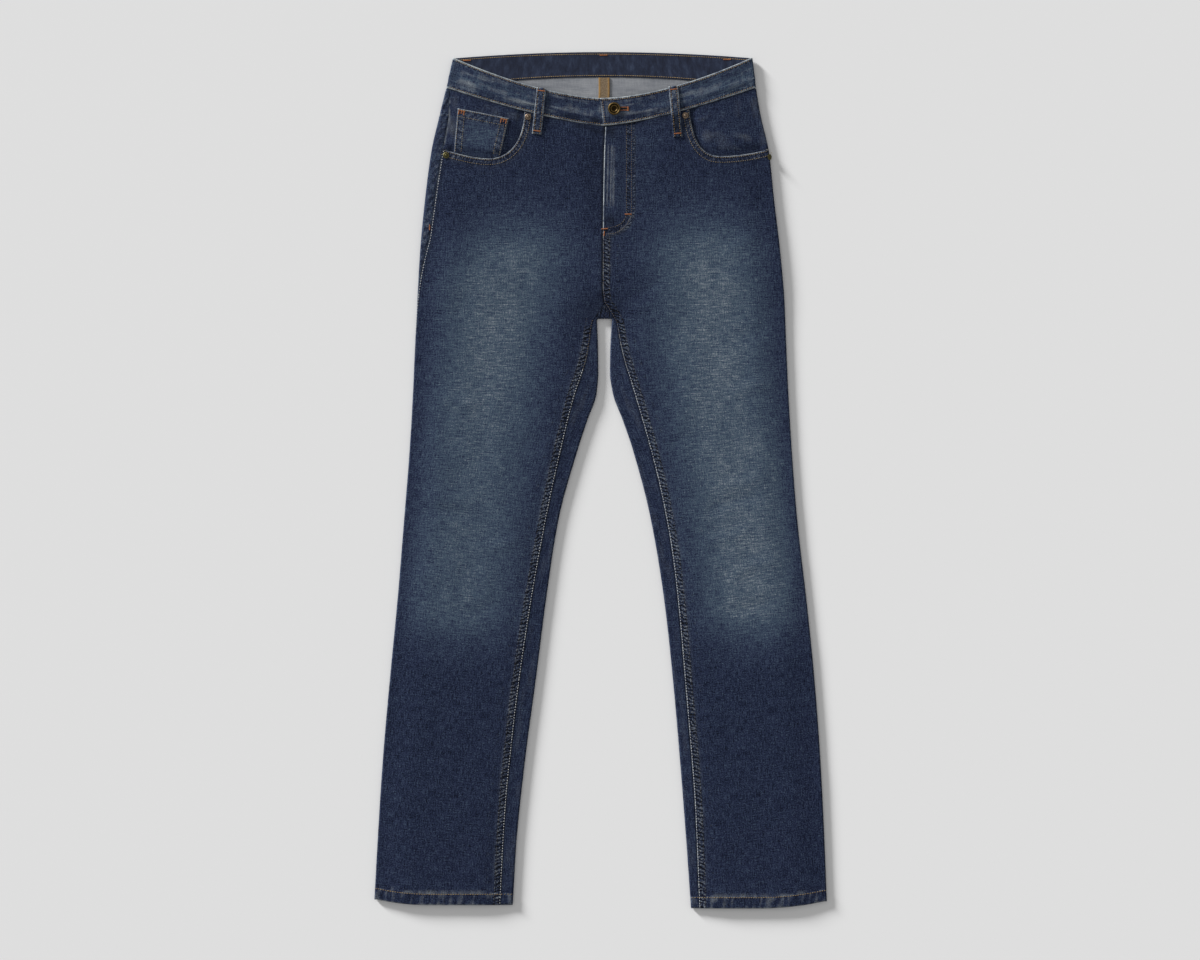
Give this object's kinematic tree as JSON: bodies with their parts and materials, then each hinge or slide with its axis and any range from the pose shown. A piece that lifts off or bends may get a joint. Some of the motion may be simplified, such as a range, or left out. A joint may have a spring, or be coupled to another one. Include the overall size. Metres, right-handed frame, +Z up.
{
  "type": "slim jeans",
  "caption": "Slim five-pocket denim jeans laid flat, front up, with a buttoned waistband, belt loops, coin pocket and straight hems.",
  "frame": {"origin": "on the ground, under the middle of the garment as it lies flat", "axes": "+Z up, out of the garment's front; +Y towards the waist; +X towards the wearer's left"},
  "size_m": [0.6153, 1.1635, 0.0112],
  "materials": {
    "denim": "dark indigo denim, worn pale on the thighs and along its edges",
    "seam_tape": "tan cotton",
    "old_brass": "antique, rubbed"
  },
  "bodies": {
    "root": {"front_right": "denim", "front_left": "denim", "back_right": "denim", "back_left": "denim", "yoke_right": "denim", "yoke_left": "denim", "waistband": "denim", "pocket_facing_right": "denim", "pocket_facing_left": "denim", "coin_pocket": "denim", "back_pocket_right": "denim", "back_pocket_left": "denim", "belt_loop_front_right": "denim", "belt_loop_front_left": "denim", "belt_loop_back_right": "denim", "belt_loop_back_middle": "denim", "belt_loop_back_left": "denim", "seat_seam_tape": "seam_tape", "button": "old_brass", "rivet_mouth_right": "old_brass", "rivet_side_right": "old_brass", "rivet_mouth_left": "old_brass", "rivet_side_left": "old_brass"}
  },
  "joints": []
}
